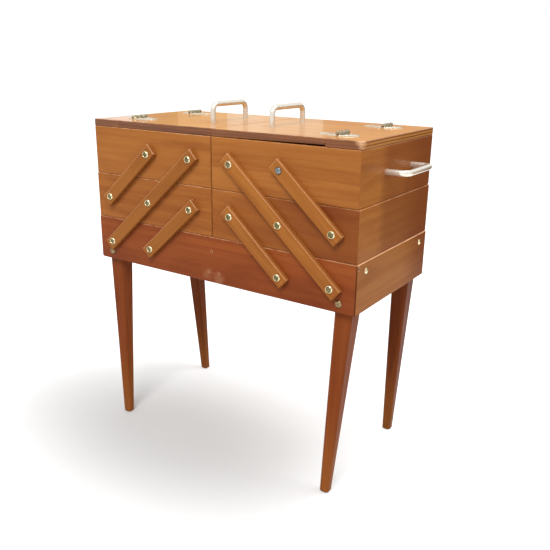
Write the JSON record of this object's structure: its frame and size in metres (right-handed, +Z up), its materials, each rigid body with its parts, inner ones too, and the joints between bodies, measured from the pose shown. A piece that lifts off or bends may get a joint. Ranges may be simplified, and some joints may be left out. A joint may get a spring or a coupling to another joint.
{
  "type": "cantilever sewing box",
  "caption": "Wooden sewing box on tapered legs, whose hinged lids and stacked trays swing up and outwards on wooden arms from a base box, with metal handles.",
  "frame": {"origin": "on the floor under the middle of the box", "axes": "+X along the long side to the right, +Y to the back, +Z up"},
  "size_m": [0.497, 0.2308, 0.5021],
  "materials": {
    "base_wood": "gloss varnish, red-brown",
    "mid_wood": "gloss varnish, orange-brown",
    "top_wood": "gloss varnish, golden orange",
    "lid_wood": "high gloss varnish over plywood",
    "arm_wood": "gloss varnish, worn edges",
    "leg_wood": "gloss varnish, red-brown",
    "bottom_wood": "bare plywood",
    "screw_brass": "polished, tarnished in the slots",
    "handle_chrome": "polished",
    "hinge_nickel": "nickel-plated, dulled"
  },
  "bodies": {
    "base": {"base_front_board": "base_wood", "base_back_board": "base_wood", "base_end_boards": "base_wood", "base_bottom": "bottom_wood", "base_pivot_screws": "screw_brass", "leg_screws": "screw_brass", "leg_front_left": "leg_wood", "leg_back_left": "leg_wood", "leg_front_right": "leg_wood", "leg_back_right": "leg_wood"},
    "left_long_arm_front": {"left_long_arm_front": "arm_wood"},
    "left_long_arm_back": {"left_long_arm_back": "arm_wood"},
    "left_lower_arm_front": {"left_lower_arm_front": "arm_wood"},
    "left_lower_arm_back": {"left_lower_arm_back": "arm_wood"},
    "left_upper_arm_front": {"left_upper_arm_front": "arm_wood"},
    "left_upper_arm_back": {"left_upper_arm_back": "arm_wood"},
    "left_mid_tray": {"left_mid_front_board": "mid_wood", "left_mid_back_board": "mid_wood", "left_mid_inner_board": "mid_wood", "left_mid_outer_board": "mid_wood", "left_mid_bottom": "bottom_wood", "left_mid_pivot_screws": "screw_brass"},
    "left_top_tray": {"left_top_front_board": "top_wood", "left_top_back_board": "top_wood", "left_top_inner_board": "top_wood", "left_top_outer_board": "top_wood", "left_top_bottom": "bottom_wood", "left_top_pivot_screws": "screw_brass", "left_top_divider": "top_wood", "left_end_handle": "handle_chrome", "left_hinge_rail": "lid_wood", "left_rail_leaves": "hinge_nickel"},
    "left_lid": {"left_lid_panel": "lid_wood", "left_lid_handle": "handle_chrome", "left_lid_leaves": "hinge_nickel"},
    "right_long_arm_front": {"right_long_arm_front": "arm_wood"},
    "right_long_arm_back": {"right_long_arm_back": "arm_wood"},
    "right_lower_arm_front": {"right_lower_arm_front": "arm_wood"},
    "right_lower_arm_back": {"right_lower_arm_back": "arm_wood"},
    "right_upper_arm_front": {"right_upper_arm_front": "arm_wood"},
    "right_upper_arm_back": {"right_upper_arm_back": "arm_wood"},
    "right_mid_tray": {"right_mid_front_board": "mid_wood", "right_mid_back_board": "mid_wood", "right_mid_inner_board": "mid_wood", "right_mid_outer_board": "mid_wood", "right_mid_bottom": "bottom_wood", "right_mid_pivot_screws": "screw_brass"},
    "right_top_tray": {"right_top_front_board": "top_wood", "right_top_back_board": "top_wood", "right_top_inner_board": "top_wood", "right_top_outer_board": "top_wood", "right_top_bottom": "bottom_wood", "right_top_pivot_screws": "screw_brass", "right_top_divider": "top_wood", "right_end_handle": "handle_chrome", "right_hinge_rail": "lid_wood", "right_rail_leaves": "hinge_nickel"},
    "right_lid": {"right_lid_panel": "lid_wood", "right_lid_handle": "handle_chrome", "right_lid_leaves": "hinge_nickel"}
  },
  "joints": [
    {"name": "left_open", "type": "hinge", "parent": "base", "child": "left_long_arm_front", "pos_m": [-0.1868, 0, 0.2949], "axis": [0, -1, 0], "range_deg": [0, 96.38]},
    {"name": "left_long_arm_back_turn", "type": "hinge", "parent": "base", "child": "left_long_arm_back", "pos_m": [-0.1868, 0, 0.2949], "axis": [0, -1, 0], "range_deg": [0, 96.38]},
    {"name": "left_lower_arm_front_turn", "type": "hinge", "parent": "base", "child": "left_lower_arm_front", "pos_m": [-0.1106, 0, 0.2949], "axis": [0, -1, 0], "range_deg": [0, 96.38]},
    {"name": "left_lower_arm_back_turn", "type": "hinge", "parent": "base", "child": "left_lower_arm_back", "pos_m": [-0.1106, 0, 0.2949], "axis": [0, -1, 0], "range_deg": [0, 96.38]},
    {"name": "left_mid_tray_level", "type": "hinge", "parent": "left_long_arm_front", "child": "left_mid_tray", "pos_m": [-0.1106, 0, 0.36305], "axis": [0, -1, 0], "range_deg": [-96.38, 0]},
    {"name": "left_top_tray_level", "type": "hinge", "parent": "left_long_arm_front", "child": "left_top_tray", "pos_m": [-0.0344, 0, 0.4312], "axis": [0, -1, 0], "range_deg": [-96.38, 0]},
    {"name": "left_upper_arm_front_turn", "type": "hinge", "parent": "left_mid_tray", "child": "left_upper_arm_front", "pos_m": [-0.1868, 0, 0.36305], "axis": [0, -1, 0], "range_deg": [0, 96.38]},
    {"name": "left_upper_arm_back_turn", "type": "hinge", "parent": "left_mid_tray", "child": "left_upper_arm_back", "pos_m": [-0.1868, 0, 0.36305], "axis": [0, -1, 0], "range_deg": [0, 96.38]},
    {"name": "left_lid_open", "type": "hinge", "parent": "left_top_tray", "child": "left_lid", "pos_m": [-0.1692, 0, 0.4765], "axis": [0, -1, 0], "range_deg": [0, 180]},
    {"name": "right_open", "type": "hinge", "parent": "base", "child": "right_long_arm_front", "pos_m": [0.1868, 0, 0.2949], "axis": [0, 1, 0], "range_deg": [0, 96.38]},
    {"name": "right_long_arm_back_turn", "type": "hinge", "parent": "base", "child": "right_long_arm_back", "pos_m": [0.1868, 0, 0.2949], "axis": [0, 1, 0], "range_deg": [0, 96.38]},
    {"name": "right_lower_arm_front_turn", "type": "hinge", "parent": "base", "child": "right_lower_arm_front", "pos_m": [0.1106, 0, 0.2949], "axis": [0, 1, 0], "range_deg": [0, 96.38]},
    {"name": "right_lower_arm_back_turn", "type": "hinge", "parent": "base", "child": "right_lower_arm_back", "pos_m": [0.1106, 0, 0.2949], "axis": [0, 1, 0], "range_deg": [0, 96.38]},
    {"name": "right_mid_tray_level", "type": "hinge", "parent": "right_long_arm_front", "child": "right_mid_tray", "pos_m": [0.1106, 0, 0.36305], "axis": [0, 1, 0], "range_deg": [-96.38, 0]},
    {"name": "right_top_tray_level", "type": "hinge", "parent": "right_long_arm_front", "child": "right_top_tray", "pos_m": [0.0344, 0, 0.4312], "axis": [0, 1, 0], "range_deg": [-96.38, 0]},
    {"name": "right_upper_arm_front_turn", "type": "hinge", "parent": "right_mid_tray", "child": "right_upper_arm_front", "pos_m": [0.1868, 0, 0.36305], "axis": [0, 1, 0], "range_deg": [0, 96.38]},
    {"name": "right_upper_arm_back_turn", "type": "hinge", "parent": "right_mid_tray", "child": "right_upper_arm_back", "pos_m": [0.1868, 0, 0.36305], "axis": [0, 1, 0], "range_deg": [0, 96.38]},
    {"name": "right_lid_open", "type": "hinge", "parent": "right_top_tray", "child": "right_lid", "pos_m": [0.1692, 0, 0.4765], "axis": [0, 1, 0], "range_deg": [0, 180]}
  ],
  "couplings": [
    {"joint": "left_long_arm_back_turn", "follows": "left_open", "ratio": 1},
    {"joint": "left_lower_arm_front_turn", "follows": "left_open", "ratio": 1},
    {"joint": "left_lower_arm_back_turn", "follows": "left_open", "ratio": 1},
    {"joint": "left_mid_tray_level", "follows": "left_open", "ratio": -1},
    {"joint": "left_top_tray_level", "follows": "left_open", "ratio": -1},
    {"joint": "left_upper_arm_front_turn", "follows": "left_open", "ratio": 1},
    {"joint": "left_upper_arm_back_turn", "follows": "left_open", "ratio": 1},
    {"joint": "right_long_arm_back_turn", "follows": "right_open", "ratio": 1},
    {"joint": "right_lower_arm_front_turn", "follows": "right_open", "ratio": 1},
    {"joint": "right_lower_arm_back_turn", "follows": "right_open", "ratio": 1},
    {"joint": "right_mid_tray_level", "follows": "right_open", "ratio": -1},
    {"joint": "right_top_tray_level", "follows": "right_open", "ratio": -1},
    {"joint": "right_upper_arm_front_turn", "follows": "right_open", "ratio": 1},
    {"joint": "right_upper_arm_back_turn", "follows": "right_open", "ratio": 1}
  ]
}
